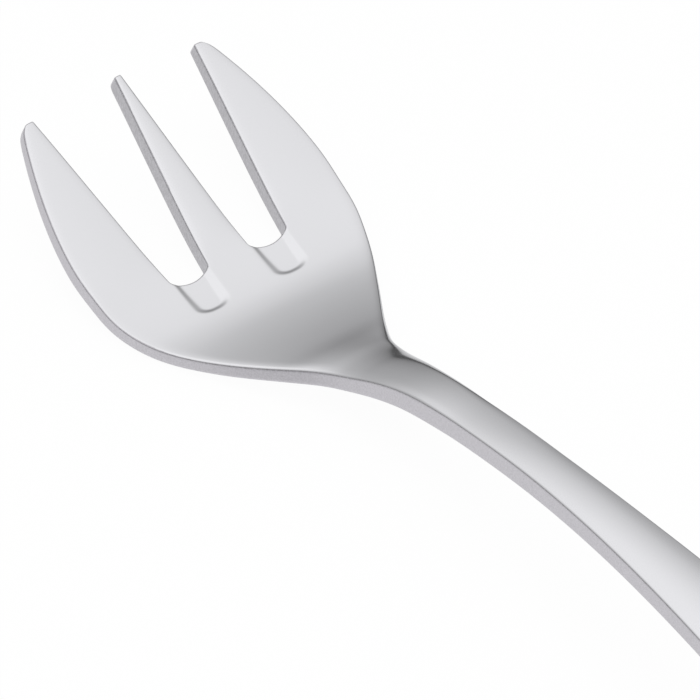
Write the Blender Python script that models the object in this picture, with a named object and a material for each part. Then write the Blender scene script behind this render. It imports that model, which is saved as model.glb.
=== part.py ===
"""Cocktail fork, stamped from one blank of stainless steel and pressed to shape.

The fork lies on its back as it does on a table: the underside of the bowl and a
flat at the end of the handle both touch z = 0, the tines point towards +Y and
the front faces up. Distances along the fork follow the bent metal and are
counted back from the tips of the tines.
"""

import math

import bmesh
import bpy
import numpy as np

MM = 0.001

# Tines and the two slots between them
TINE_LENGTH = 16.2 * MM
MIDDLE_TIP_WIDTH = 0.6 * MM
MIDDLE_ROOT_WIDTH = 3.85 * MM
MIDDLE_TIP_ROUND = 0.12 * MM
MIDDLE_TIP_LIFT = 1.02 * MM
OUTER_TIP_WIDTH = 0.96 * MM
OUTER_TIP_ROUND_ACROSS = 0.5 * MM
OUTER_TIP_ROUND_ALONG = 0.85 * MM
SLOT_TIP_WIDTH = 7.0 * MM
SLOT_ROOT_WIDTH = 3.25 * MM
SLOT_ROOT_ROUND = 0.5 * MM

# Recess coined into the front behind each slot
RECESS_LENGTH = 3.05 * MM
RECESS_DEPTH = 0.42 * MM
RECESS_WALL = 0.42 * MM
RECESS_CORNER = 0.13 * MM

# Head and neck, seen from the front
HEAD_WIDTH = 22.5 * MM
HEAD_WIDEST_AT = 12.7 * MM
NECK_WIDTH = 3.26 * MM
NECK_START_AT = 45.0 * MM
NECK_END_AT = 54.0 * MM

# Handle, seen from the front
BLANK_LENGTH = 147.0 * MM
HANDLE_WIDTH = 13.0 * MM
HANDLE_WIDEST_TO_END = 16.0 * MM
HANDLE_END_ROUND = 9.0 * MM

# Thickness of the metal at its edges, and how the front is dished and crowned
TIP_THICKNESS = 1.14 * MM
TINE_THICKNESS = 1.28 * MM
SHOULDER_THICKNESS = 1.02 * MM
NECK_THICKNESS = 1.63 * MM
HANDLE_THICKNESS = 1.56 * MM
END_THICKNESS = 1.5 * MM
HEAD_DISH = 0.3 * MM
HANDLE_CROWN = 0.4 * MM

# Side view
SHOULDER_THIN_AT = 24.3 * MM
HANDLE_THICK_AT = 65.4 * MM
ARCH_TOP_AT = 69.0 * MM
REST_FLAT_LENGTH = 8.0 * MM
FALL_TO_END = 28.0 * MM

# Facets
TINE_FACET = 2.2 * MM
BOWL_FACET = 1.7 * MM
HANDLE_FACET = 3.6 * MM
MIDDLE_TINE_COLUMNS = 2
OUTER_TINE_COLUMNS = 3
TIP_TURNS = (0, 30, 60, 90)
END_TURNS = (15, 30, 45, 60, 72, 83)
SHARP_ANGLE = 35
PROFILE_STEP = 0.1 * MM
SAME_PLACE = 0.001 * MM

# Shares of the way from one width to the next against shares of the distance
TINE_EDGE_POWER = 1.75
SHOULDER_CURVE = ((0, 0), (0.14, 0.047), (0.23, 0.164), (0.354, 0.405), (0.492, 0.695),
                  (0.585, 0.862), (0.662, 0.925), (0.785, 0.97), (1, 1))
FLARE_CURVE = ((0, 0), (0.1, 0.052), (0.19, 0.134), (0.45, 0.46), (0.75, 0.86), (1, 1))

# Side view of the head and neck: share of the distance to the top of the arch, and
# slope towards the handle in degrees
HEAD_SLOPES = ((0, -23.4), (0.1, -24.6), (0.19, -22.4), (0.25, -15.1), (0.3, 1.5),
               (0.38, 15.7), (0.45, 21.5), (0.52, 25.5), (0.59, 16.5), (0.68, 11.6),
               (0.83, 6.1), (1, 1.2))

# Side view of the handle: share of the way from the last slope to the fall, both ways
ARCH_CURVE = ((0.3, 0.34), (0.62, 0.78))

STEEL_COLOUR = (0.62, 0.62, 0.64, 1.0)
STEEL_ROUGHNESS = 0.25


def curve_through(points, x):
    """Smooth curve through the points, level or straight at its two ends."""
    xs, ys = (np.array(values, float) for values in zip(*points))
    gaps = np.diff(xs)
    rises = np.diff(ys) / gaps
    slopes = np.concatenate([rises[:1], np.zeros(len(xs) - 2), rises[-1:]])
    slopes[1:-1] = (rises[:-1] * gaps[1:] + rises[1:] * gaps[:-1]) / (gaps[1:] + gaps[:-1])
    i = np.clip(np.searchsorted(xs, x) - 1, 0, len(xs) - 2)
    u = (x - xs[i]) / gaps[i]
    start = (1 + 2 * u) * (1 - u) ** 2 * ys[i] + u * (1 - u) ** 2 * gaps[i] * slopes[i]
    end = u * u * (3 - 2 * u) * ys[i + 1] - u * u * (1 - u) * gaps[i] * slopes[i + 1]
    return start + end


def share(value, low, high):
    return min(max((value - low) / (high - low), 0.0), 1.0)


def ease(u):
    return u * u * (3 - 2 * u)


def blend(first, second, u):
    return first + (second - first) * u


def rounding(u):
    """Quarter circle, from 0 at u = 0 to 1 at u = 1."""
    return math.sqrt(1 - (1 - u) ** 2)


def middle_half(s):
    """Half the width of the middle tine."""
    return blend(MIDDLE_TIP_WIDTH, MIDDLE_ROOT_WIDTH, share(s, 0, TINE_LENGTH)) / 2


def slot_width(s):
    return blend(SLOT_TIP_WIDTH, SLOT_ROOT_WIDTH, share(s, 0, TINE_LENGTH))


def outline_half(s):
    """Half the width of the whole fork, before its ends are rounded."""
    if s < HEAD_WIDEST_AT:
        tip_half = middle_half(0) + SLOT_TIP_WIDTH + OUTER_TIP_WIDTH
        lost = (1 - s / HEAD_WIDEST_AT) ** TINE_EDGE_POWER
        return blend(HEAD_WIDTH / 2, tip_half, lost)
    if s < NECK_START_AT:
        lost = curve_through(SHOULDER_CURVE, share(s, HEAD_WIDEST_AT, NECK_START_AT))
        return blend(HEAD_WIDTH, NECK_WIDTH, lost) / 2
    widest_at = BLANK_LENGTH - HANDLE_WIDEST_TO_END
    gained = curve_through(FLARE_CURVE, share(s, NECK_END_AT, widest_at))
    return blend(NECK_WIDTH, HANDLE_WIDTH, gained) / 2


def edge_half(s):
    """Half the width of the whole fork, with the rounded tips and handle end."""
    tip = rounding(share(s, 0, OUTER_TIP_ROUND_ALONG))
    end = rounding(share(BLANK_LENGTH - s, 0, HANDLE_END_ROUND))
    return outline_half(s) * end - OUTER_TIP_ROUND_ACROSS * (1 - tip)


def thickness(s):
    stations = ((0, TIP_THICKNESS), (HEAD_WIDEST_AT, TINE_THICKNESS),
                (SHOULDER_THIN_AT, SHOULDER_THICKNESS), (NECK_START_AT, NECK_THICKNESS),
                (HANDLE_THICK_AT, HANDLE_THICKNESS),
                (BLANK_LENGTH - FALL_TO_END, END_THICKNESS), (BLANK_LENGTH, END_THICKNESS))
    return curve_through(stations, s)


def side_profile(fall):
    """Line that the fork's edges follow, for one slope of the falling handle."""
    fall_at = BLANK_LENGTH - FALL_TO_END
    top_slope = HEAD_SLOPES[-1][1]
    stations = [(way * ARCH_TOP_AT, slope) for way, slope in HEAD_SLOPES]
    stations += [(blend(ARCH_TOP_AT, fall_at, way), blend(top_slope, fall, bent))
                 for way, bent in ARCH_CURVE]
    stations += [(fall_at, fall), (BLANK_LENGTH - REST_FLAT_LENGTH, 0), (BLANK_LENGTH, 0)]
    s = np.linspace(0, BLANK_LENGTH, round(BLANK_LENGTH / PROFILE_STEP) + 1)
    slope = np.radians(curve_through(stations, s))
    slope[s >= BLANK_LENGTH - REST_FLAT_LENGTH] = 0
    step = s[1] - s[0]
    y = -np.concatenate([[0], np.cumsum((np.cos(slope[1:]) + np.cos(slope[:-1])) * step / 2)])
    z = np.concatenate([[0], np.cumsum((np.sin(slope[1:]) + np.sin(slope[:-1])) * step / 2)])
    return s, y, z, slope


def rested_profile():
    """Profile whose handle falls until its end lies level with the bowl."""
    steep, shallow = -60.0, 0.0
    for _ in range(50):
        fall = (steep + shallow) / 2
        s, y, z, slope = side_profile(fall)
        underside = z - thickness(s) * np.cos(slope)
        bowl = underside[s < NECK_START_AT].min() - HEAD_DISH
        if underside[-1] > bowl:
            shallow = fall
        else:
            steep = fall
    return s, y, z, slope


PROFILE = rested_profile()


def recess_depth(x, s):
    """How deep the coined recess is at one place on the front."""
    side = middle_half(s)
    from_side = min(x - side, side + slot_width(s) - x)
    from_back = TINE_LENGTH + RECESS_LENGTH - s
    if s < TINE_LENGTH - SLOT_ROOT_ROUND:
        return 0.0
    return RECESS_DEPTH * share(min(from_side, from_back), 0, RECESS_WALL)


def bulge(x, s, at_head, at_handle):
    """Rise of one face between the edges, which changes from head to handle."""
    across = x / outline_half(s)
    handle = ease(share(s, TINE_LENGTH, NECK_START_AT))
    return blend(at_head, at_handle, handle) * (1 - across ** 2)


def tine_lift(x, s):
    """The middle tine rises towards its tip more than the outer ones."""
    if x > middle_half(s) + SAME_PLACE:
        return 0.0
    return MIDDLE_TIP_LIFT * (1 - share(s, 0, TINE_LENGTH))


def front_height(x, s):
    """Height of the front over the line of the edges."""
    return tine_lift(x, s) + bulge(x, s, -HEAD_DISH, HANDLE_CROWN) - recess_depth(x, s)


def back_height(x, s):
    """Height of the underside: dished like the front at the head, flat at the handle."""
    return tine_lift(x, s) + bulge(x, s, -HEAD_DISH, 0) - thickness(s)


def pressed(x, s, height):
    """Place of a point of the flat blank after the fork is bent to its side view."""
    along, y, z, slope = PROFILE
    angle = np.interp(s, along, slope)
    return (x, np.interp(s, along, y) + height * math.sin(angle),
            np.interp(s, along, z) + height * math.cos(angle))


def spread(low, high, step):
    """Even places from low to high, no further apart than the step."""
    return list(np.linspace(low, high, max(1, math.ceil((high - low) / step)) + 1))


def middle_columns(s):
    tip = MIDDLE_TIP_ROUND * (1 - rounding(share(s, 0, MIDDLE_TIP_ROUND)))
    return list(np.linspace(0, middle_half(s) - tip, MIDDLE_TINE_COLUMNS + 1))


def outer_columns(s):
    inner = middle_half(s) + slot_width(s)
    tip = MIDDLE_TIP_ROUND * (1 - rounding(share(s, 0, MIDDLE_TIP_ROUND)))
    return list(np.linspace(inner + tip, edge_half(s), OUTER_TINE_COLUMNS + 1))


def slot_columns(s):
    """Places across the recess: its walls, a step in each corner and its floor."""
    left = middle_half(s)
    right = left + slot_width(s)
    return [left + RECESS_CORNER, left + RECESS_WALL, (left + right) / 2,
            right - RECESS_WALL, right - RECESS_CORNER]


def slot_root(x):
    """Distance of the slot's rounded root from the tips, at one place across it."""
    left = middle_half(TINE_LENGTH)
    from_side = min(x - left, left + SLOT_ROOT_WIDTH - x)
    return TINE_LENGTH - SLOT_ROOT_ROUND * (1 - rounding(share(from_side, 0, SLOT_ROOT_ROUND)))


def head_row(s):
    return middle_columns(s) + slot_columns(s) + outer_columns(s)


def add_row(bm, columns, s):
    return [bm.verts.new((x, -s, 0)) for x in columns]


def join_rows(bm, rows):
    for front, back in zip(rows, rows[1:]):
        for i in range(len(front) - 1):
            bm.faces.new((front[i], front[i + 1], back[i + 1], back[i]))


def blank_rows():
    """Distances from the tips of the rows behind the slots."""
    recess_end = TINE_LENGTH + RECESS_LENGTH
    floor_end = recess_end - RECESS_WALL
    recess = [(TINE_LENGTH + floor_end) / 2, floor_end, recess_end]
    bowl = spread(recess_end, NECK_START_AT, BOWL_FACET)[1:]
    handle = spread(NECK_START_AT, BLANK_LENGTH - HANDLE_END_ROUND, HANDLE_FACET)[1:]
    end = [BLANK_LENGTH - HANDLE_END_ROUND * (1 - math.sin(math.radians(turn)))
           for turn in END_TURNS]
    return recess, bowl + handle + end


def flat_blank(bm):
    """Right half of the flat blank, seen from the front, with its slot cut out."""
    round_rows = [OUTER_TIP_ROUND_ALONG * (1 - math.cos(math.radians(turn)))
                  for turn in TIP_TURNS]
    root_start = TINE_LENGTH - SLOT_ROOT_ROUND
    tine_rows = round_rows + spread(OUTER_TIP_ROUND_ALONG, root_start, TINE_FACET)[1:]
    middle = [add_row(bm, middle_columns(s), s) for s in tine_rows]
    outer = [add_row(bm, outer_columns(s), s) for s in tine_rows]
    root = [bm.verts.new((x, -slot_root(x), 0)) for x in slot_columns(TINE_LENGTH)]
    recess, behind = blank_rows()
    rows = [middle[-1] + root + outer[-1]]
    rows += [add_row(bm, head_row(s), s) for s in recess]
    shares = np.array(head_row(recess[-1])) / edge_half(recess[-1])
    rows += [add_row(bm, shares * edge_half(s), s) for s in behind]
    for strip in (middle, outer, rows):
        join_rows(bm, strip)


def press(bm):
    """Give the blank its thickness and bend it to its side view."""
    sheet = bmesh.ops.extrude_face_region(bm, geom=bm.faces[:])
    back = {v for v in sheet["geom"] if isinstance(v, bmesh.types.BMVert)}
    for v in bm.verts:
        x, s = v.co.x, -v.co.y
        height = back_height(x, s) if v in back else front_height(x, s)
        v.co = pressed(x, s, height)
    lowest = min(v.co.z for v in bm.verts)
    middle = (min(v.co.y for v in bm.verts) + max(v.co.y for v in bm.verts)) / 2
    bmesh.ops.translate(bm, verts=bm.verts[:], vec=(0, -middle, -lowest))
    bmesh.ops.delete(bm, geom=[f for f in bm.faces if lies_on_mirror(f)], context="FACES_ONLY")
    bmesh.ops.recalc_face_normals(bm, faces=bm.faces[:])


def lies_on_mirror(face):
    return all(abs(v.co.x) < SAME_PLACE for v in face.verts)


def steel():
    """Polished stainless steel."""
    material = bpy.data.materials.new("stainless_steel")
    material.use_nodes = True
    shader = material.node_tree.nodes["Principled BSDF"]
    shader.inputs["Base Color"].default_value = STEEL_COLOUR
    shader.inputs["Metallic"].default_value = 1.0
    shader.inputs["Roughness"].default_value = STEEL_ROUGHNESS
    return material


def build_fork():
    bm = bmesh.new()
    flat_blank(bm)
    press(bm)
    mesh = bpy.data.meshes.new("fork")
    bm.to_mesh(mesh)
    bm.free()
    mesh.materials.append(steel())
    mesh.shade_smooth()
    mesh.set_sharp_from_angle(angle=math.radians(SHARP_ANGLE))
    fork = bpy.data.objects.new("fork", mesh)
    bpy.context.collection.objects.link(fork)
    mirror = fork.modifiers.new("Left half", "MIRROR")
    mirror.use_axis[0] = True
    mirror.merge_threshold = SAME_PLACE
    return fork


def main():
    for leftover in list(bpy.data.objects):
        bpy.data.objects.remove(leftover)
    build_fork()


main()
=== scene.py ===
"""Cocktail fork of polished stainless steel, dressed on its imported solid.

The fork lies on its back: tines towards +Y, front up, resting on the underside of its
bowl and on a flat at the handle's end. Distances along it follow the bent metal and are
counted back from the tips of the tines.
"""

import math

import bmesh
import bpy
import numpy as np
from bpy.props import FloatProperty, FloatVectorProperty, IntProperty, PointerProperty
from mathutils import Matrix, Vector


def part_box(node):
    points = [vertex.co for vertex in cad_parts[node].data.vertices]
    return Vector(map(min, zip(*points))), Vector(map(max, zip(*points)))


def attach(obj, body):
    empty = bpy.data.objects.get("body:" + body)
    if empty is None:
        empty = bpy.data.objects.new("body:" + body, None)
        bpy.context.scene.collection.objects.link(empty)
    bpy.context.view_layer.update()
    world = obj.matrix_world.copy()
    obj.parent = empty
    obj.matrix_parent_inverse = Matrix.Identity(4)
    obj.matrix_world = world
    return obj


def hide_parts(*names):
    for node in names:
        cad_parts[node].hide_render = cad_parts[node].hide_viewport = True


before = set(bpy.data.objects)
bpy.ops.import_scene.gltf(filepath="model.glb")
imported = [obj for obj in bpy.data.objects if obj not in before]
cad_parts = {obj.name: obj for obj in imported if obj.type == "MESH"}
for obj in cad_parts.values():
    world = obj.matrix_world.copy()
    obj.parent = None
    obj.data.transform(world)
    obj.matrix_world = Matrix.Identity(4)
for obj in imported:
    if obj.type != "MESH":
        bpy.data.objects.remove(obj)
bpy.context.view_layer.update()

bl_info = {
    "name": "Cocktail Fork",
    "version": (1, 0, 0),
    "blender": (4, 5, 0),
    "location": "3D View > Sidebar > Fork",
    "description": "Makes a pressed, polished cocktail fork and the studio that it lies in",
    "category": "Object",
}

MM = 0.001

# Shares of the way from one width to the next against shares of the distance: a power
# of it along the tines, and behind them points that a smooth curve passes through
TINE_EDGE_POWER = 1.75
SHOULDER_CURVE = ((0, 0), (0.14, 0.047), (0.23, 0.164), (0.354, 0.405), (0.492, 0.693),
                  (0.585, 0.854), (0.662, 0.917), (0.785, 0.964), (1, 1))
FLARE_CURVE = ((0, 0), (0.1, 0.052), (0.19, 0.134), (0.45, 0.46), (0.75, 0.86), (1, 1))

# Side view of the head and neck: share of the distance to the top of the arch, and
# slope towards the handle in degrees
HEAD_SLOPES = ((0, -23.1), (0.1, -24.3), (0.19, -22.2), (0.25, -15.1), (0.3, 1.5),
               (0.38, 16.0), (0.45, 21.8), (0.52, 25.8), (0.59, 16.8), (0.68, 11.8),
               (0.83, 6.1), (1, 1.2))

# Side view of the handle: shares of the distance, and of the change in slope, from the
# arch's top to the fall
ARCH_CURVE = ((0.3, 0.34), (0.62, 0.78))
PROFILE_STEP = 0.1 * MM

# Slopes in degrees between which the handle's fall is found by halving, and how often
STEEPEST_FALL = -60.0
LEVEL = 0.0
HALVINGS = 50

# Front across the fork, by the distance from the tips in mm: how far in mm its middle
# stands above its edges, and how far and over what width its right edge rolls down.
# Nearer to the edge than where the roll starts, its slope just runs on.
FRONT_RISE = ((0, 0.04), (8, -0.05), (16, -0.12), (20, -0.08), (23, 0.03), (26, 0.1),
              (29, 0.17), (32, 0.36), (35, 0.33), (38, 0.19), (42, 0.17), (47, 0.13),
              (53, 0.19), (60, 0.25), (72, 0.38), (100, 0.4), (147, 0.4))
EDGE_ROLL = ((0, 0.04, 0.9), (16, 0.05, 0.9), (20, 0.08, 1.1), (25, 0.17, 1.0),
             (28, 0.2, 1.03), (30, 0.24, 1.0), (31.5, 0.19, 0.96), (33, 0.11, 0.72),
             (34.5, 0.1, 0.8), (36, 0.13, 1.0), (38, 0.18, 1.0), (41, 0.23, 0.85),
             (46, 0.1, 0.9), (55, 0.05, 1.1), (147, 0.02, 1.0))
ROLL_START = 0.07 * MM

# Light tent round the fork: height of a direction as a sine, and its tone. The floor
# ends in a dark gap below the tent's edge, and the tent brightens towards its top.
TENT = ((-1.0, "FFFFFF"), (-0.5, "FAFAFA"), (-0.25, "CECED0"), (-0.18, "BBBBBD"),
        (-0.155, "4E4E52"), (-0.078, "4E4E52"), (-0.062, "868688"), (-0.03, "8F8F91"),
        (0.0, "969698"), (0.05, "9F9FA1"), (0.15, "ADADAF"), (0.25, "B7B7B9"),
        (0.35, "C2C2C4"), (0.45, "CECECF"), (0.55, "DEDEDF"), (0.65, "E8E8E9"),
        (0.75, "F1F1F1"), (0.88, "F5F5F5"), (1.0, "F8F8F8"))

# How the flat blank is divided before it is smoothed: faces across each strip, and
# columns next to an edge with the most of the width that they may take up. Rows are in
# mm from the tips, at a tine's inner and outer side, then in mm from the handle's end,
# in its middle and at its side. None is where the end's rounding has its corner.
MIDDLE_FACES = 2
SLOT_FACES = 7
OUTER_FACES = 6
MIDDLE_COLUMN = 0.6
TINE_COLUMNS = ((0.35 * MM, 0.15), (0.9 * MM, 0.35))
BODY_COLUMNS = ((0.22 * MM, 0.2), (0.5 * MM, 0.4), (1.0 * MM, 0.6))
TINE_ROWS_INSIDE = (0, 0.25, 0.6, 1.2, 2.1, 3.2)
TINE_ROWS_OUTSIDE = (None, 0.46, 0.95, 1.5, 2.3, 3.3)
END_ROWS_MIDDLE = (0, 2.2, 4.8, 7.8, 11.0)
END_ROWS_SIDE = (None, 5.6, 7.8, 10.0, 12.2)
TIP_CORNER = math.radians(30)
END_CORNER = math.radians(50)
TINE_ROW = 1.3 * MM
ROOT_ROW = 0.25 * MM
RECESS_ROW = 0.4 * MM
BOWL_ROW = 1.05 * MM
HANDLE_ROW = 4.6 * MM

# Rows stay as close as in the recess this far behind it, and columns have changed from
# an outer tine's to the body's at this distance from the tips
PAST_RECESS = 2 * RECESS_ROW
BODY_COLUMNS_FROM = 26.0 * MM

# Depth at which the rounded corner gives way to the wall, at the tines and behind them
TINE_WALL_START = 0.005 * MM
BODY_WALL_START = 0.07 * MM

# A wall's normal rises or falls less than this, as a sine. A slot's wall lies within
# this share of an outer tine's width, and begins this far behind the tips.
WALL_TILT = 0.98
SLOT_SIDE = 1 / 3
SLOT_WALL_FROM = 0.2 * MM

# Depth below either face in which the pressed metal keeps its corner's own shape. The
# blank's wall has a row of points there.
CORNER_ZONE = 0.3 * MM

# Points nearer together than this are one point, and edges bent by more than this
# angle are corners
MERGE = 0.01 * MM
CORNER_ANGLE = math.radians(55)

# The middle tine rises to its tip with this power of the distance from the slot's root,
# and the recess reaches this far over the edge of the root
LIFT_POWER = 1.2
ROOT_MARGIN = 0.1 * MM

# Grains of the finishes in mm across x, y and z, about 0.1 mm on the tumbled edge. The
# wheel's lines are about 0.05 mm apart on the real fork, and are drawn wider to show.
WHEEL_LINES = (0.12, 6, 0.12)
WHEEL_DEPTH = 0.01 * MM
EDGE_GRAIN = (0.13, 0.13, 0.13)
SLOT_GRAIN = (0.15, 0.15, 0.35)
HAZE_PATCH = 5 * MM
GRAIN = {"Detail": 3.0, "Roughness": 0.6}

# Values between which noise mostly lies, and shares of a roughness that follow them
NOISE_LOW = 0.3
NOISE_HIGH = 0.7
ROUGHNESS_LOW = 0.85
ROUGHNESS_HIGH = 1.15

# How far right a direction points, as a sine: where the tent keeps its plain tone, which
# level steel mirrors, and where its left has reached its full light
TENT_EVEN = 0.46
TENT_LEFT = 0.2

# Studio in metres, and the camera's sensor in mm
FLOOR_SIZE = 12.0
LAMP_PLACE = (-0.1, -0.05, 0.6)
LAMP_SIZE = 0.5
CAMERA_REACH = 20.0
SENSOR_WIDTH = 36.0


def linear(code, alpha=1.0):
    """Linear colour of an sRGB hex code such as DEDDE0."""
    parts = [int(code[i:i + 2], 16) / 255 for i in (0, 2, 4)]
    return tuple(c / 12.92 if c <= 0.04045 else ((c + 0.055) / 1.055) ** 2.4
                 for c in parts) + (alpha,)


def length(name, description, millimetres):
    return FloatProperty(name=name, description=description, default=millimetres * MM,
                         min=0.0, precision=5, unit="LENGTH")


def colour(name, description, code):
    return FloatVectorProperty(name=name, description=description, default=linear(code),
                               min=0.0, max=1.0, size=4, subtype="COLOR")


def factor(name, description, value):
    return FloatProperty(name=name, description=description, default=value, min=0.0,
                         max=1.0, subtype="FACTOR")


class ForkSizes(bpy.types.PropertyGroup):
    """Sizes of the fork, along its bent metal where they run along it."""

    tine_length: length("Tine length", "From the tips to the slots' roots", 16.2)
    middle_tip_width: length("Middle tip", "Width of the middle tine's tip", 0.6)
    middle_root_width: length("Middle root", "Width of the middle tine's root", 3.85)
    middle_tip_lift: length("Middle lift", "Rise of the middle tip over the others", 1.02)
    outer_tip_width: length("Outer tip", "Width of an outer tine's tip", 1.04)
    outer_tip_round_across: length("Outer tip round", "Rounded off across the tip", 0.5)
    outer_tip_round_along: length("Outer tip run", "Rounded off along the tine", 0.85)
    slot_tip_width: length("Slot mouth", "Width between the tips", 7.0)
    slot_root_width: length("Slot root", "Width at a slot's root", 3.25)
    slot_root_start: length("Root start", "Where a slot's root curve begins", 15.75)
    slot_root_bow: length("Root bow", "How far the root curves back", 0.55)
    recess_end: length("Recess end", "Far edge of the coined recess from the tips", 19.35)
    recess_depth: length("Recess depth", "Depth of the coined recess", 0.21)
    recess_wall_root: length("Recess side", "Run of its side walls at the slot", 0.52)
    recess_wall_far: length("Recess far side", "Run of its side walls at the end", 0.95)
    recess_ramp: length("Recess ramp", "Run of the recess's far wall", 0.52)
    recess_round: length("Recess corner", "Radius of the recess's far corners", 1.5)
    head_width: length("Head width", "Widest place of the head", 22.66)
    head_widest_at: length("Head widest at", "Distance of that place from the tips", 12.7)
    neck_width: length("Neck width", "Narrowest place of the neck", 3.42)
    neck_start: length("Neck start", "Where the shoulders have run out", 45.0)
    neck_end: length("Neck end", "Where the handle begins to widen", 54.0)
    blank_length: length("Blank length", "Tips to the handle's end", 147.0)
    handle_width: length("Handle width", "Widest place of the handle", 13.0)
    handle_widest_to_end: length("Handle widest", "From there to its end", 16.0)
    handle_end_round: length("Handle end", "Rounded off along the end", 9.0)
    tip_thickness: length("Tip thickness", "Metal at the tips", 1.14)
    tine_thickness: length("Tine thickness", "Metal at the head's widest place", 1.3)
    shoulder_thickness: length("Shoulder thickness", "Metal at the shoulders", 1.0)
    shoulder_thin_at: length("Shoulder thin at", "Distance from the tips", 22.0)
    neck_thickness: length("Neck thickness", "Metal at the neck", 1.66)
    handle_thickness: length("Handle thickness", "Metal of the handle", 1.62)
    handle_thick_at: length("Handle thick at", "Distance from the tips", 65.4)
    end_thickness: length("End thickness", "Metal at the handle's end", 1.5)
    head_dish: length("Head dish", "Hollow of the head's underside across", 0.3)
    arch_top_at: length("Arch top", "Distance of the arch's top from the tips", 69.0)
    rest_flat_length: length("Rest flat", "Flat at the handle's end", 8.0)
    fall_to_end: length("Fall", "Length of the handle's fall to its end", 28.0)
    corner: length("Corner", "Radius that tumbling leaves on the body's corners", 0.15)
    tine_corner: length("Tine corner", "Radius of the corners at the tines", 0.1)
    corner_grows_to: length("Corner run", "Where the body's corner is full", 23.0)
    middle_tip_under: length("Middle tip underside", "Rounded off below the tip", 0.4)
    middle_tip_run: length("Middle tip run", "Length of that rounding", 0.6)
    tine_fade_start: length("Pillow fade", "Where the tines' pillow begins to fade", 12.5)
    middle_pillow: FloatProperty(name="Middle pillow", default=0.037, min=0.0, max=0.2,
                                 description="Rise of the middle tine over its half width")
    outer_pillow: FloatProperty(name="Outer pillow", default=0.018, min=0.0, max=0.2,
                                description="Rise of an outer tine over its half width")
    left_wear: factor("Left wear", "Share of the right edge's roll at the left", 0.35)
    smoothing: IntProperty(name="Smoothing", description="Subdivision levels", default=2,
                           min=0, max=3)


class ForkFinish(bpy.types.PropertyGroup):
    """Colours and gloss of the fork's steel."""

    face_colour: colour("Face", "Polished steel of the front and back", "E9E9EC")
    face_roughness: factor("Face roughness", "Haze of the polished faces", 0.12)
    # Painted shade: the edge's colour is darker partly for its tumbled finish and partly for
    # the shaded floor beside the fork that the edge mirrors.
    edge_colour_and_painted_shade: colour("Edge", "Tumbled steel of the outer edge", "C6C4C9")
    edge_roughness: factor("Edge roughness", "Haze of the tumbled edge", 0.36)
    # Painted shade: the slot wall's colour is darker partly for its pierced finish and partly
    # for the shade between the tines, which don't mirror each other.
    slot_colour_and_painted_shade: colour("Slot wall", "Pierced steel inside the slots", "BEBDC1")
    slot_roughness: factor("Slot roughness", "Haze of the pierced walls", 0.42)


class ForkStudio(bpy.types.PropertyGroup):
    """The floor, the light and the camera."""

    floor_colour: colour("Floor", "Matt white floor", "F4F4F4")
    floor_glow: factor("Floor glow", "Share of the floor seen as plain white", 0.95)
    tent_colour: colour("Tent", "Cloth of the light tent", "FFFFFF")
    side_light: factor("Side light", "How much the tent brightens to the left", 0.3)
    lamp_power: FloatProperty(name="Lamp", description="Power of the overhead lamp",
                              default=1.0, min=0.0, unit="POWER")
    aim: FloatVectorProperty(name="Aim", description="Point that the camera looks at",
                             default=(0.00595, 0.04966, -0.00502), subtype="XYZ",
                             unit="LENGTH")
    heading: FloatProperty(name="Heading", description="Camera's heading from +Y to +X",
                           default=math.radians(39.601), subtype="ANGLE", unit="ROTATION")
    elevation: FloatProperty(name="Elevation", description="Camera's angle over the floor",
                             default=math.radians(43.872), subtype="ANGLE",
                             unit="ROTATION")
    roll: FloatProperty(name="Roll", description="Camera's turn about its view",
                        default=math.radians(3.166), subtype="ANGLE", unit="ROTATION")
    distance: FloatProperty(name="Distance", description="From the camera to the aim",
                            default=0.599, min=0.1, unit="LENGTH")
    lens: FloatProperty(name="Lens", description="Focal length in mm", default=419.66,
                        min=1.0, subtype="NONE")


def curve_through(points, x):
    """Smooth curve through the points, which starts and ends along a straight line."""
    xs, ys = (np.array(values, float) for values in zip(*points))
    gaps = np.diff(xs)
    rises = np.diff(ys) / gaps
    slopes = np.concatenate([rises[:1], np.zeros(len(xs) - 2), rises[-1:]])
    slopes[1:-1] = (rises[:-1] * gaps[1:] + rises[1:] * gaps[:-1]) / (gaps[1:] + gaps[:-1])
    i = np.clip(np.searchsorted(xs, x) - 1, 0, len(xs) - 2)
    u = (x - xs[i]) / gaps[i]
    start = (1 + 2 * u) * (1 - u) ** 2 * ys[i] + u * (1 - u) ** 2 * gaps[i] * slopes[i]
    end = u * u * (3 - 2 * u) * ys[i + 1] - u * u * (1 - u) * gaps[i] * slopes[i + 1]
    return start + end


def share(value, low, high):
    return np.clip((value - low) / (high - low), 0.0, 1.0)


def ease(u):
    return u * u * (3 - 2 * u)


def blend(first, second, u):
    return first + (second - first) * u


def rounding(u):
    """Quarter circle, from 0 at u = 0 to 1 at u = 1."""
    return np.sqrt(np.clip(1 - (1 - u) ** 2, 0.0, 1.0))


def middle_half(size, s):
    """Half the width of the middle tine."""
    way = share(s, 0, size.tine_length)
    return blend(size.middle_tip_width, size.middle_root_width, way) / 2


def slot_width(size, s):
    return blend(size.slot_tip_width, size.slot_root_width, share(s, 0, size.tine_length))


def outer_inside(size, s):
    """Inner edge of an outer tine."""
    return middle_half(size, s) + slot_width(size, s)


def outline_half(size, s):
    """Half the width of the whole fork, before its ends are rounded."""
    s = np.asarray(s, float)
    tip_half = outer_inside(size, 0) + size.outer_tip_width
    lost = np.clip(1 - s / size.head_widest_at, 0, 1) ** TINE_EDGE_POWER
    tines = blend(size.head_width / 2, tip_half, lost)
    lost = curve_through(SHOULDER_CURVE, share(s, size.head_widest_at, size.neck_start))
    shoulders = blend(size.head_width, size.neck_width, lost) / 2
    widest_at = size.blank_length - size.handle_widest_to_end
    gained = curve_through(FLARE_CURVE, share(s, size.neck_end, widest_at))
    handle = blend(size.neck_width, size.handle_width, gained) / 2
    return np.where(s < size.head_widest_at, tines,
                    np.where(s < size.neck_start, shoulders, handle))


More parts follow.
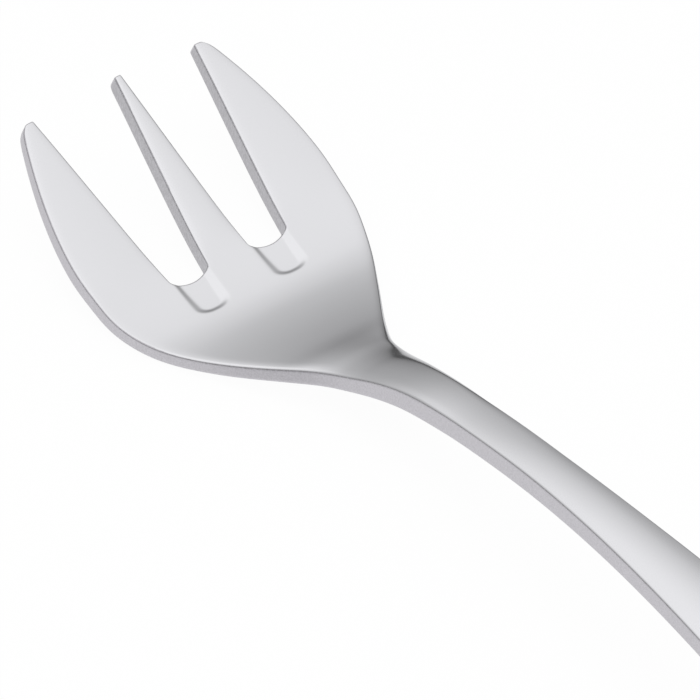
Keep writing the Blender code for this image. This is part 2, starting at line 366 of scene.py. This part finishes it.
def edge_half(size, s):
    """Half the width of the whole fork, with the rounded tips and handle end."""
    tip = rounding(share(s, 0, size.outer_tip_round_along))
    end = rounding(share(size.blank_length - s, 0, size.handle_end_round))
    return outline_half(size, s) * end - size.outer_tip_round_across * (1 - tip)


def thickness(size, s):
    stations = ((0, size.tip_thickness), (size.head_widest_at, size.tine_thickness),
                (size.shoulder_thin_at, size.shoulder_thickness),
                (size.neck_start, size.neck_thickness),
                (size.handle_thick_at, size.handle_thickness),
                (size.blank_length - size.fall_to_end, size.end_thickness),
                (size.blank_length, size.end_thickness))
    return curve_through(stations, s)


def side_profile(size, fall):
    """Line that the fork's edges follow, for one slope of the falling handle."""
    fall_at = size.blank_length - size.fall_to_end
    flat_at = size.blank_length - size.rest_flat_length
    top_slope = HEAD_SLOPES[-1][1]
    stations = [(way * size.arch_top_at, slope) for way, slope in HEAD_SLOPES]
    stations += [(blend(size.arch_top_at, fall_at, way), blend(top_slope, fall, bent))
                 for way, bent in ARCH_CURVE]
    stations += [(fall_at, fall), (flat_at, 0), (size.blank_length, 0)]
    s = np.linspace(0, size.blank_length, round(size.blank_length / PROFILE_STEP) + 1)
    slope = np.radians(curve_through(stations, s))
    slope[s >= flat_at] = 0
    step = s[1] - s[0]
    y = -np.concatenate([[0], np.cumsum((np.cos(slope[1:]) + np.cos(slope[:-1])) * step / 2)])
    z = np.concatenate([[0], np.cumsum((np.sin(slope[1:]) + np.sin(slope[:-1])) * step / 2)])
    return s, y, z, slope


def rested_profile(size):
    """Profile whose handle falls until its end lies level with the bowl."""
    steep, shallow = STEEPEST_FALL, LEVEL
    for _ in range(HALVINGS):
        fall = (steep + shallow) / 2
        s, y, z, slope = side_profile(size, fall)
        underside = z - thickness(size, s) * np.cos(slope)
        bowl = underside[s < size.neck_start].min() - size.head_dish
        if underside[-1] > bowl:
            shallow = fall
        else:
            steep = fall
    return s, y, z, slope


def recess_depth(size, x, s):
    """Depth of the coined recess: open at the slot, sloped walls and round far corners."""
    from_side = np.minimum(x - middle_half(size, s), outer_inside(size, s) - x)
    wall = blend(size.recess_wall_root, size.recess_wall_far,
                 share(s, size.slot_root_start, size.recess_end))
    from_far = (size.recess_end - s) * wall / size.recess_ramp
    radius = size.recess_round
    corner = radius - np.hypot(np.clip(radius - from_side, 0, None),
                               np.clip(radius - from_far, 0, None))
    inside = np.where((from_side < radius) & (from_far < radius), corner,
                      np.minimum(from_side, from_far))
    on_web = s > size.slot_root_start - ROOT_MARGIN
    return np.where(on_web, size.recess_depth * ease(share(inside, 0, wall)), 0)


def tine_lift(size, x, s):
    """The middle tine rises towards its tip more than the outer ones."""
    rise = (1 - share(s, 0, size.slot_root_start)) ** LIFT_POWER
    on_middle = x < (middle_half(size, s) + outer_inside(size, s)) / 2
    return np.where(on_middle, size.middle_tip_lift * rise, 0.0)


def edge_roll(edge, half, s):
    """Rise of the front from an edge inwards, where the polishing wheel rolls it."""
    drop = curve_through([(at, drop) for at, drop, _ in EDGE_ROLL], s / MM) * MM
    width = curve_through([(at, width) for at, _, width in EDGE_ROLL], s / MM) * MM
    inward = np.minimum(edge / np.clip(half, ROLL_START, width), 1)
    return drop * np.where(inward > 0, 1 - (1 - inward) ** 3, 3 * inward)


def tine_front(size, x, s):
    """Front of the tines: each one a little pillowed between its own two edges."""
    middle, inner, outer = middle_half(size, s), outer_inside(size, s), edge_half(size, s)
    on_middle = x < (middle + inner) / 2
    half = np.where(on_middle, middle, (outer - inner) / 2)
    place = np.where(on_middle, x / middle, (x - inner) / half - 1)
    pillow = np.where(on_middle, size.middle_pillow, size.outer_pillow) * half
    return (pillow * (1 - place ** 2)
            + edge_roll((1 - np.abs(place)) * half, half, s))


def front_height(size, x, s, wear):
    """Height of the front; wear is the share of the roll that this side's edge has."""
    tines = 1 - ease(share(s, size.tine_fade_start, size.slot_root_start))
    across = x / outline_half(size, s)
    rise = curve_through(FRONT_RISE, s / MM) * MM * (1 - across ** 2)
    outer = edge_half(size, s)
    level = edge_roll(outer, outer, s)
    body = level - wear * (level - edge_roll(outer - x - ROLL_START, outer, s))
    return (tine_lift(size, x, s) + rise + blend(body, tine_front(size, x, s), tines)
            - recess_depth(size, x, s))


def back_height(size, x, s):
    """Height of the underside: dished at the head, flat at the handle."""
    across = x / outline_half(size, s)
    handle = ease(share(s, size.tine_length, size.neck_start))
    on_middle = x < (middle_half(size, s) + outer_inside(size, s)) / 2
    cut = size.middle_tip_under * (1 - rounding(share(s, 0, size.middle_tip_run)))
    return (tine_lift(size, x, s) + blend(-size.head_dish, 0, handle) * (1 - across ** 2)
            - thickness(size, s) + np.where(on_middle, cut, 0))


def spread(low, high, step):
    """Even places from low to high, no further apart than the step."""
    return list(np.linspace(low, high, max(1, math.ceil((high - low) / step)) + 1))


def outer_tip_corner(size):
    """Place on the outer tip's rounding where its end turns into its side."""
    start = edge_half(size, 0)
    return (start + size.outer_tip_round_across * math.sin(TIP_CORNER),
            size.outer_tip_round_along * (1 - math.cos(TIP_CORNER)))


def tine_rows(size):
    """Pairs of distances from the tips: each row at its inner and at its outer side."""
    inner = [row * MM for row in TINE_ROWS_INSIDE]
    outer = [outer_tip_corner(size)[1]] + [row * MM for row in TINE_ROWS_OUTSIDE[1:]]
    last = size.slot_root_start - ROOT_ROW
    steps = math.ceil((last - inner[-1]) / TINE_ROW)
    for side in (inner, outer):
        side += list(np.linspace(side[-1], last, steps + 1))[1:] + [size.slot_root_start]
    return list(zip(inner, outer))


def middle_columns(half):
    return [0, half * MIDDLE_COLUMN, half]


def tine_columns(inner, outer):
    """Places from one edge to the other, close together along both."""
    near = [min(reach, limit * (outer - inner)) for reach, limit in TINE_COLUMNS]
    return [inner, inner + near[0], inner + near[1], (inner + outer) / 2,
            outer - near[1], outer - near[0], outer]


def body_columns(inner, outer):
    """Places from the inside out, close together along the edge."""
    near = [min(reach, limit * (outer - inner)) for reach, limit in BODY_COLUMNS]
    inside = list(np.linspace(inner, outer - near[2], OUTER_FACES - 2))
    return inside + [outer - near[1], outer - near[0], outer]


def middle_point(size, row, column):
    s = tine_rows(size)[row][0]
    return middle_columns(middle_half(size, s))[column], s


def outer_point(size, row, column):
    inner_s, outer_s = tine_rows(size)[row]
    inner_x = outer_inside(size, inner_s)
    width = edge_half(size, outer_s) - inner_x
    across = tine_columns(0, width)[column] / width
    if row == 0:
        corner_x, _ = outer_tip_corner(size)
        x = blend(inner_x, corner_x, across)
        past = share(x - edge_half(size, 0), 0, size.outer_tip_round_across)
        return x, size.outer_tip_round_along * (1 - math.sqrt(1 - past ** 2))
    s = blend(inner_s, outer_s, across ** 2)
    return blend(outer_inside(size, s), edge_half(size, outer_s), across), s


def root_curve(size, across):
    """How far the slot's root lies behind its start, across the slot."""
    return size.slot_root_bow * 4 * across * (1 - across)


def body_rows(size):
    """Pairs of distances from the tips: each row at the middle and at the side."""
    past_recess = size.recess_end + PAST_RECESS
    rows = spread(size.slot_root_start, past_recess, RECESS_ROW)
    rows += spread(past_recess, size.neck_start, BOWL_ROW)[1:]
    end_middle = [size.blank_length - row * MM for row in reversed(END_ROWS_MIDDLE)]
    end_side = [size.blank_length - row * MM for row in reversed(END_ROWS_SIDE[1:])]
    end_side.append(size.blank_length - size.handle_end_round * (1 - math.cos(END_CORNER)))
    steps = max(1, math.ceil((end_middle[0] - size.neck_start) / HANDLE_ROW))
    middle = list(np.linspace(size.neck_start, end_middle[0], steps + 1))[1:-1]
    side = list(np.linspace(size.neck_start, end_side[0], steps + 1))[1:-1]
    return [(s, s) for s in rows] + list(zip(middle, side)) + list(zip(end_middle, end_side))


def body_shares(size):
    """Places across the half blank behind the slots, as shares of its width."""
    s = size.recess_end
    left, right, edge = middle_half(size, s), outer_inside(size, s), edge_half(size, s)
    places = middle_columns(left) + list(np.linspace(left, right, SLOT_FACES + 1))[1:]
    return [place / edge for place in places]


def body_point(size, rows, row, column):
    middle_s, side_s = rows[row]
    if side_s <= size.recess_end + PAST_RECESS + RECESS_ROW:
        return recess_point(size, side_s, column)
    shares = body_shares(size)
    half = float(edge_half(size, side_s)) if row < len(rows) - 1 else size.handle_width / 2
    changed = ease(share(side_s, size.recess_end, BODY_COLUMNS_FROM))
    outer = [blend(first, second, changed) / half for first, second in
             zip(tine_columns(shares[-1] * half, half), body_columns(shares[-1] * half, half))]
    across = (shares[:-1] + outer)[column]
    if row == len(rows) - 1:
        corner = size.handle_width / 2 * math.sin(END_CORNER)
        x = across * corner
        turn = math.sqrt(1 - (x / (size.handle_width / 2)) ** 2)
        return x, size.blank_length - size.handle_end_round * (1 - turn)
    return across * edge_half(size, side_s), blend(middle_s, side_s, across ** 2)


def recess_point(size, s, column):
    """One point of the rows that pass through the recess, bowed like the slot's root."""
    left, right, edge = middle_half(size, s), outer_inside(size, s), edge_half(size, s)
    if column <= MIDDLE_FACES:
        return middle_columns(left)[column], s
    if column >= MIDDLE_FACES + SLOT_FACES:
        return tine_columns(right, edge)[column - MIDDLE_FACES - SLOT_FACES], s
    across = (column - MIDDLE_FACES) / SLOT_FACES
    bowed = 1 - ease(share(s, size.slot_root_start, size.recess_end))
    return blend(left, right, across), s + root_curve(size, across) * bowed


def deselect():
    if bpy.context.object and bpy.context.object.mode != "OBJECT":
        bpy.ops.object.mode_set(mode="OBJECT")
    bpy.ops.object.select_all(action="DESELECT")


def cut_strip(name, columns, rows, place):
    """Adds a flat grid and lays its points out by row and column of the blank."""
    deselect()
    bpy.ops.mesh.primitive_grid_add(x_subdivisions=columns, y_subdivisions=rows, size=1)
    strip = bpy.context.object
    strip.name = name
    for vertex in strip.data.vertices:
        column = round((vertex.co.x + 0.5) * columns)
        row = round((0.5 - vertex.co.y) * rows)
        x, s = place(row, column)
        vertex.co = (x, -s, 0)
    return strip


def flat_blank(size):
    """Right half of the blank in three strips, joined along their shared points."""
    tines = len(tine_rows(size)) - 1
    rows = body_rows(size)
    columns = MIDDLE_FACES + SLOT_FACES + OUTER_FACES
    strips = [
        cut_strip("middle tine", MIDDLE_FACES, tines,
                  lambda row, column: middle_point(size, row, column)),
        cut_strip("outer tine", OUTER_FACES, tines,
                  lambda row, column: outer_point(size, row, column)),
        cut_strip("fork_body", columns, len(rows) - 1,
                  lambda row, column: body_point(size, rows, row, column)),
    ]
    deselect()
    for strip in strips:
        strip.select_set(True)
    bpy.context.view_layer.objects.active = strips[-1]
    bpy.ops.object.join()
    blank = bpy.context.object
    bpy.ops.object.mode_set(mode="EDIT")
    bpy.ops.mesh.select_all(action="SELECT")
    bpy.ops.mesh.remove_doubles(threshold=MERGE)
    bpy.ops.mesh.normals_make_consistent(inside=False)
    return blank


def select_faces(mesh, test):
    """In edit mode, selects only the faces that pass the test."""
    bpy.ops.mesh.select_mode(type="FACE")
    bpy.ops.mesh.select_all(action="DESELECT")
    bm = bmesh.from_edit_mesh(mesh)
    for face in bm.faces:
        face.select_set(bool(test(face)))
    bmesh.update_edit_mesh(mesh)


def stamp(size, blank):
    """Gives the blank its thickness, its rounded corners and its other half."""
    mesh = blank.data
    bpy.ops.mesh.select_all(action="SELECT")
    for depth in (CORNER_ZONE, size.tine_thickness - 2 * CORNER_ZONE, CORNER_ZONE):
        bpy.ops.mesh.extrude_region_move(TRANSFORM_OT_translate={"value": (0, 0, -depth)})
    bpy.ops.mesh.select_all(action="SELECT")
    bpy.ops.mesh.normals_make_consistent(inside=False)
    select_faces(mesh, lambda face: all(abs(v.co.x) < MERGE for v in face.verts))
    bpy.ops.mesh.delete(type="ONLY_FACE")
    bpy.ops.mesh.select_mode(type="EDGE")
    bpy.ops.mesh.select_all(action="DESELECT")
    bpy.ops.mesh.edges_select_sharp(sharpness=CORNER_ANGLE)
    bpy.ops.object.mode_set(mode="OBJECT")
    weights = mesh.attributes.new("bevel_weight_edge", "FLOAT", "EDGE").data
    for edge in mesh.edges:
        if edge.select:
            s = -sum(mesh.vertices[i].co.y for i in edge.vertices) / 2
            grown = ease(share(s, size.slot_root_start + size.slot_root_bow,
                               size.corner_grows_to))
            weights[edge.index].value = blend(size.tine_corner / size.corner, 1, grown)
    round_off = blank.modifiers.new("Corners", "BEVEL")
    round_off.width = size.corner
    round_off.segments = 2
    round_off.limit_method = "WEIGHT"
    round_off.use_clamp_overlap = False
    mirror = blank.modifiers.new("Left half", "MIRROR")
    mirror.use_axis[0] = True
    mirror.merge_threshold = MERGE
    smooth = blank.modifiers.new("Smooth", "SUBSURF")
    smooth.levels = smooth.render_levels = size.smoothing
    for modifier in (round_off.name, mirror.name, smooth.name):
        bpy.ops.object.modifier_apply(modifier=modifier)


def mark_edges(size, blank):
    """Puts the blanked outer edge and the pierced slot walls on their own materials."""
    mesh = blank.data
    bpy.ops.object.mode_set(mode="EDIT")

    def is_wall(face):
        _, y, z = face.calc_center_median()
        start = blend(TINE_WALL_START, BODY_WALL_START,
                      share(-y, size.recess_end, size.corner_grows_to))
        return abs(face.normal.z) < WALL_TILT and start < -z < size.tine_thickness - start

    def in_slot(face):
        x, y, _ = face.calc_center_median()
        limit = blend(outer_inside(size, -y), edge_half(size, -y), SLOT_SIDE)
        root = size.slot_root_start + size.slot_root_bow + size.corner
        return abs(x) < limit and SLOT_WALL_FROM < -y < root

    for index, test in ((1, is_wall), (2, lambda face: is_wall(face) and in_slot(face))):
        select_faces(mesh, test)
        blank.active_material_index = index
        bpy.ops.object.material_slot_assign()
    bpy.ops.object.mode_set(mode="OBJECT")


def press(size, blank):
    """Coins, dishes and crowns the flat blank and bends it to its side view."""
    mesh = blank.data
    points = np.empty(len(mesh.vertices) * 3, np.float32)
    mesh.vertices.foreach_get("co", points)
    x, y, depth = points.reshape(-1, 3).astype(float).T
    s = -y
    front = front_height(size, np.abs(x), s, np.where(x > 0, 1.0, size.left_wear))
    back = back_height(size, np.abs(x), s)
    full = size.tine_thickness
    through = share(-depth, CORNER_ZONE, full - CORNER_ZONE)
    middle = blend(front - CORNER_ZONE, back + CORNER_ZONE, through)
    height = np.where(depth > -CORNER_ZONE, front + depth,
                      np.where(depth < CORNER_ZONE - full, back + depth + full, middle))
    along, run, rise, slope = rested_profile(size)
    angle = np.interp(s, along, slope)
    y = np.interp(s, along, run) + height * np.sin(angle)
    z = np.interp(s, along, rise) + height * np.cos(angle)
    low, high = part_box("fork")
    y += (low[1] + high[1]) / 2 - (y.min() + y.max()) / 2
    z += low[2] - z.min()
    mesh.vertices.foreach_set("co", np.stack([x, y, z], 1).astype(np.float32).ravel())
    mesh.update()


def add_node(tree, kind, settings=None, links=None):
    """Adds a node, sets its options and sockets, and links its inputs, all by name or
    by a socket's number."""
    node = tree.nodes.new(kind)
    for name, value in (settings or {}).items():
        if isinstance(name, int) or name in node.inputs:
            node.inputs[name].default_value = value
        else:
            setattr(node, name, value)
    for name, source in (links or {}).items():
        tree.links.new(source, node.inputs[name])
    return node


def new_material(name):
    material = bpy.data.materials.new(name)
    material.use_nodes = True
    tree = material.node_tree
    tree.nodes.clear()
    return material, tree


def polished_steel(finish):
    """Stainless steel, wheel polished: a clear mirror with a soft haze and, close to,
    fine lines along the fork where the wheel passed."""
    material, tree = new_material("wheel_polished_stainless_steel")
    place = add_node(tree, "ShaderNodeTexCoord").outputs["Object"]
    # The wheel's lines run along the fork.
    stretched = add_node(tree, "ShaderNodeMapping", {"Scale": [1 / mm for mm in WHEEL_LINES]},
                         {"Vector": place}).outputs["Vector"]
    lines = add_node(tree, "ShaderNodeTexNoise", {"Scale": 1 / MM, **GRAIN},
                     {"Vector": stretched}).outputs["Fac"]
    # Handling leaves a faint haze in patches.
    haze = add_node(tree, "ShaderNodeTexNoise", {"Scale": 1 / HAZE_PATCH, "Detail": 2.0},
                    {"Vector": place}).outputs["Fac"]
    rough = add_node(tree, "ShaderNodeMapRange",
                     {"From Min": NOISE_LOW, "From Max": NOISE_HIGH,
                      "To Min": finish.face_roughness * ROUGHNESS_LOW,
                      "To Max": finish.face_roughness * ROUGHNESS_HIGH}, {"Value": haze})
    bump = add_node(tree, "ShaderNodeBump", {"Strength": 0.04, "Distance": WHEEL_DEPTH},
                    {"Height": lines})
    shader = add_node(tree, "ShaderNodeBsdfPrincipled",
                      {"Base Color": finish.face_colour, "Metallic": 1.0},
                      {"Roughness": rough.outputs["Result"], "Normal": bump.outputs["Normal"]})
    add_node(tree, "ShaderNodeOutputMaterial", {}, {"Surface": shader.outputs["BSDF"]})
    return material


def grained_steel(name, colour, roughness, depth, grain_mm, contrast):
    """Steel wall with a fine grain: its tone, its haze and its relief all follow it."""
    material, tree = new_material(name)
    place = add_node(tree, "ShaderNodeTexCoord").outputs["Object"]
    sized = add_node(tree, "ShaderNodeMapping",
                     {"Scale": [1 / (mm * MM) for mm in grain_mm]}, {"Vector": place})
    noise = add_node(tree, "ShaderNodeTexNoise", {"Scale": 1.0, **GRAIN},
                     {"Vector": sized.outputs["Vector"]})
    grain = add_node(tree, "ShaderNodeMapRange",
                     {"From Min": NOISE_LOW, "From Max": NOISE_HIGH},
                     {"Value": noise.outputs["Fac"]}).outputs["Result"]
    dark = [(1 - contrast) * c for c in colour[:3]] + [1.0]
    bright = [min((1 + contrast) * c, 1) for c in colour[:3]] + [1.0]
    tint = add_node(tree, "ShaderNodeMix", {"data_type": "RGBA", 6: dark, 7: bright},
                    {0: grain})
    rough = add_node(tree, "ShaderNodeMapRange",
                     {"To Min": roughness * ROUGHNESS_LOW,
                      "To Max": roughness * ROUGHNESS_HIGH}, {"Value": grain})
    bump = add_node(tree, "ShaderNodeBump", {"Strength": 1.0, "Distance": depth},
                    {"Height": grain})
    shader = add_node(tree, "ShaderNodeBsdfPrincipled", {"Metallic": 1.0},
                      {"Base Color": tint.outputs[2], "Roughness": rough.outputs["Result"],
                       "Normal": bump.outputs["Normal"]})
    add_node(tree, "ShaderNodeOutputMaterial", {}, {"Surface": shader.outputs["BSDF"]})
    return material


class FORK_OT_press(bpy.types.Operator):
    """Cut, stamp, coin and press the one piece that the fork is"""

    bl_idname = "fork.press"
    bl_label = "Press Fork"

    def execute(self, context):
        size = context.scene.fork_sizes
        finish = context.scene.fork_finish
        fork = flat_blank(size)
        stamp(size, fork)
        fork.name = fork.data.name = "pressed_fork"
        fork.data.materials.append(polished_steel(finish))
        # Tumbled edge: satin, with an even grain. Its darker colour is partly the tumbled
        # finish and partly painted shade, for the shaded floor that the edge mirrors.
        fork.data.materials.append(grained_steel(
            "tumbled_edge_and_painted_shade", finish.edge_colour_and_painted_shade, finish.edge_roughness,
            depth=0.004 * MM, grain_mm=EDGE_GRAIN, contrast=0.13))
        # Pierced wall: torn by the punch, with streaks through the metal. It is greyer partly
        # for that rougher finish and partly as painted shade between the tines.
        fork.data.materials.append(grained_steel(
            "pierced_wall_and_painted_shade", finish.slot_colour_and_painted_shade, finish.slot_roughness,
            depth=0.008 * MM, grain_mm=SLOT_GRAIN, contrast=0.2))
        mark_edges(size, fork)
        press(size, fork)
        deselect()
        fork.select_set(True)
        context.view_layer.objects.active = fork
        bpy.ops.object.shade_smooth()
        fork.visible_glossy = False  # its tines stay out of its neck's reflection
        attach(fork, "root")
        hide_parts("fork")
        return {"FINISHED"}


def floor_material(studio):
    """Matt white floor: seen as plain white, with a trace of the fork's soft shadow."""
    material, tree = new_material("matt_white_floor")
    path = add_node(tree, "ShaderNodeLightPath")
    seen = add_node(tree, "ShaderNodeMath", {"operation": "MAXIMUM"},
                    {0: path.outputs["Is Camera Ray"], 1: path.outputs["Is Glossy Ray"]})
    seen_through = add_node(tree, "ShaderNodeMath", {"operation": "MAXIMUM"},
                            {0: seen.outputs["Value"],
                             1: path.outputs["Is Transmission Ray"]})
    glow = add_node(tree, "ShaderNodeMath", {"operation": "MULTIPLY", 1: studio.floor_glow},
                    {0: seen_through.outputs["Value"]})
    matt = add_node(tree, "ShaderNodeBsdfDiffuse", {"Color": studio.floor_colour})
    white = add_node(tree, "ShaderNodeEmission", {"Strength": 1.0})
    mix = add_node(tree, "ShaderNodeMixShader", {},
                   {0: glow.outputs["Value"], 1: matt.outputs["BSDF"],
                    2: white.outputs["Emission"]})
    add_node(tree, "ShaderNodeOutputMaterial", {}, {"Surface": mix.outputs["Shader"]})
    return material


def light_tent(studio):
    """World as a light tent: its tone follows the height, and its left is brighter."""
    world = bpy.data.worlds.new("light_tent")
    world.use_nodes = True
    tree = world.node_tree
    tree.nodes.clear()
    way = add_node(tree, "ShaderNodeTexCoord").outputs["Generated"]
    parts = add_node(tree, "ShaderNodeSeparateXYZ", {}, {"Vector": way}).outputs
    place = add_node(tree, "ShaderNodeMapRange", {"From Min": -1.0, "From Max": 1.0},
                     {"Value": parts["Z"]})
    ramp = add_node(tree, "ShaderNodeValToRGB", {}, {"Fac": place.outputs["Result"]})
    elements = ramp.color_ramp.elements
    while len(elements) < len(TENT):
        elements.new(0.5)
    for element, (height, tone) in zip(elements, TENT):
        element.position = (height + 1) / 2
        element.color = linear(tone)
    # From straight right to where the left side's full light begins
    gain = add_node(tree, "ShaderNodeMapRange",
                    {"From Min": 1.0, "From Max": TENT_LEFT,
                     "To Min": 1 - (1 - TENT_EVEN) * studio.side_light,
                     "To Max": 1 + (TENT_EVEN - TENT_LEFT) * studio.side_light},
                    {"Value": parts["X"]})
    tone = add_node(tree, "ShaderNodeMath", {"operation": "MULTIPLY"},
                    {0: ramp.outputs["Color"], 1: gain.outputs["Result"]})
    capped = add_node(tree, "ShaderNodeMath", {"operation": "MINIMUM", 1: 1.0},
                      {0: tone.outputs["Value"]})
    light = add_node(tree, "ShaderNodeBackground", {"Color": studio.tent_colour},
                     {"Strength": capped.outputs["Value"]})
    add_node(tree, "ShaderNodeOutputWorld", {}, {"Surface": light.outputs["Background"]})
    return world


class FORK_OT_studio(bpy.types.Operator):
    """Lay the floor, hang the light and set the camera"""

    bl_idname = "fork.studio"
    bl_label = "Set Up Studio"

    def execute(self, context):
        studio = context.scene.fork_studio
        deselect()
        bpy.ops.mesh.primitive_plane_add(size=FLOOR_SIZE, location=(0, 0, 0))
        floor = context.object
        floor.name = "floor"
        floor.data.materials.append(floor_material(studio))
        floor.visible_glossy = False  # steel mirrors the tent's lower half instead
        context.scene.world = light_tent(studio)

        deselect()
        bpy.ops.object.light_add(type="AREA", location=LAMP_PLACE)
        lamp = context.object
        lamp.name = "overhead softbox"
        lamp.data.shape = "DISK"
        lamp.data.size = LAMP_SIZE
        lamp.data.energy = studio.lamp_power
        lamp.rotation_euler = lamp.location.to_track_quat("Z", "Y").to_euler()
        lamp.visible_glossy = False

        forward = Vector((math.cos(studio.elevation) * math.sin(studio.heading),
                          math.cos(studio.elevation) * math.cos(studio.heading),
                          -math.sin(studio.elevation)))
        deselect()
        bpy.ops.object.camera_add(location=Vector(studio.aim) - forward * studio.distance)
        camera = context.object
        camera.name = "camera"
        turned = forward.to_track_quat("-Z", "Y").to_matrix()
        turned = turned @ Matrix.Rotation(studio.roll, 3, "Z")
        camera.rotation_euler = turned.to_euler()
        camera.data.sensor_width = SENSOR_WIDTH
        camera.data.lens = studio.lens
        camera.data.clip_end = CAMERA_REACH
        context.scene.camera = camera
        context.scene.view_settings.view_transform = "Standard"
        return {"FINISHED"}


class FORK_PT_panel(bpy.types.Panel):
    """Lists the steps and the sizes that can be changed before them"""

    bl_idname = "FORK_PT_panel"
    bl_label = "Cocktail Fork"
    bl_space_type = "VIEW_3D"
    bl_region_type = "UI"
    bl_category = "Fork"

    def draw(self, context):
        layout = self.layout
        for group, operator in ((context.scene.fork_sizes, None),
                                (context.scene.fork_finish, FORK_OT_press),
                                (context.scene.fork_studio, FORK_OT_studio)):
            for name in group.__annotations__:
                layout.prop(group, name)
            if operator:
                layout.operator(operator.bl_idname)


CLASSES = (ForkSizes, ForkFinish, ForkStudio, FORK_OT_press, FORK_OT_studio, FORK_PT_panel)


def register():
    for cls in CLASSES:
        bpy.utils.register_class(cls)
    bpy.types.Scene.fork_sizes = PointerProperty(type=ForkSizes)
    bpy.types.Scene.fork_finish = PointerProperty(type=ForkFinish)
    bpy.types.Scene.fork_studio = PointerProperty(type=ForkStudio)


def unregister():
    del bpy.types.Scene.fork_studio
    del bpy.types.Scene.fork_finish
    del bpy.types.Scene.fork_sizes
    for cls in reversed(CLASSES):
        bpy.utils.unregister_class(cls)


def main():
    register()
    bpy.ops.fork.press()
    bpy.ops.fork.studio()


if __name__ == "__main__":
    main()
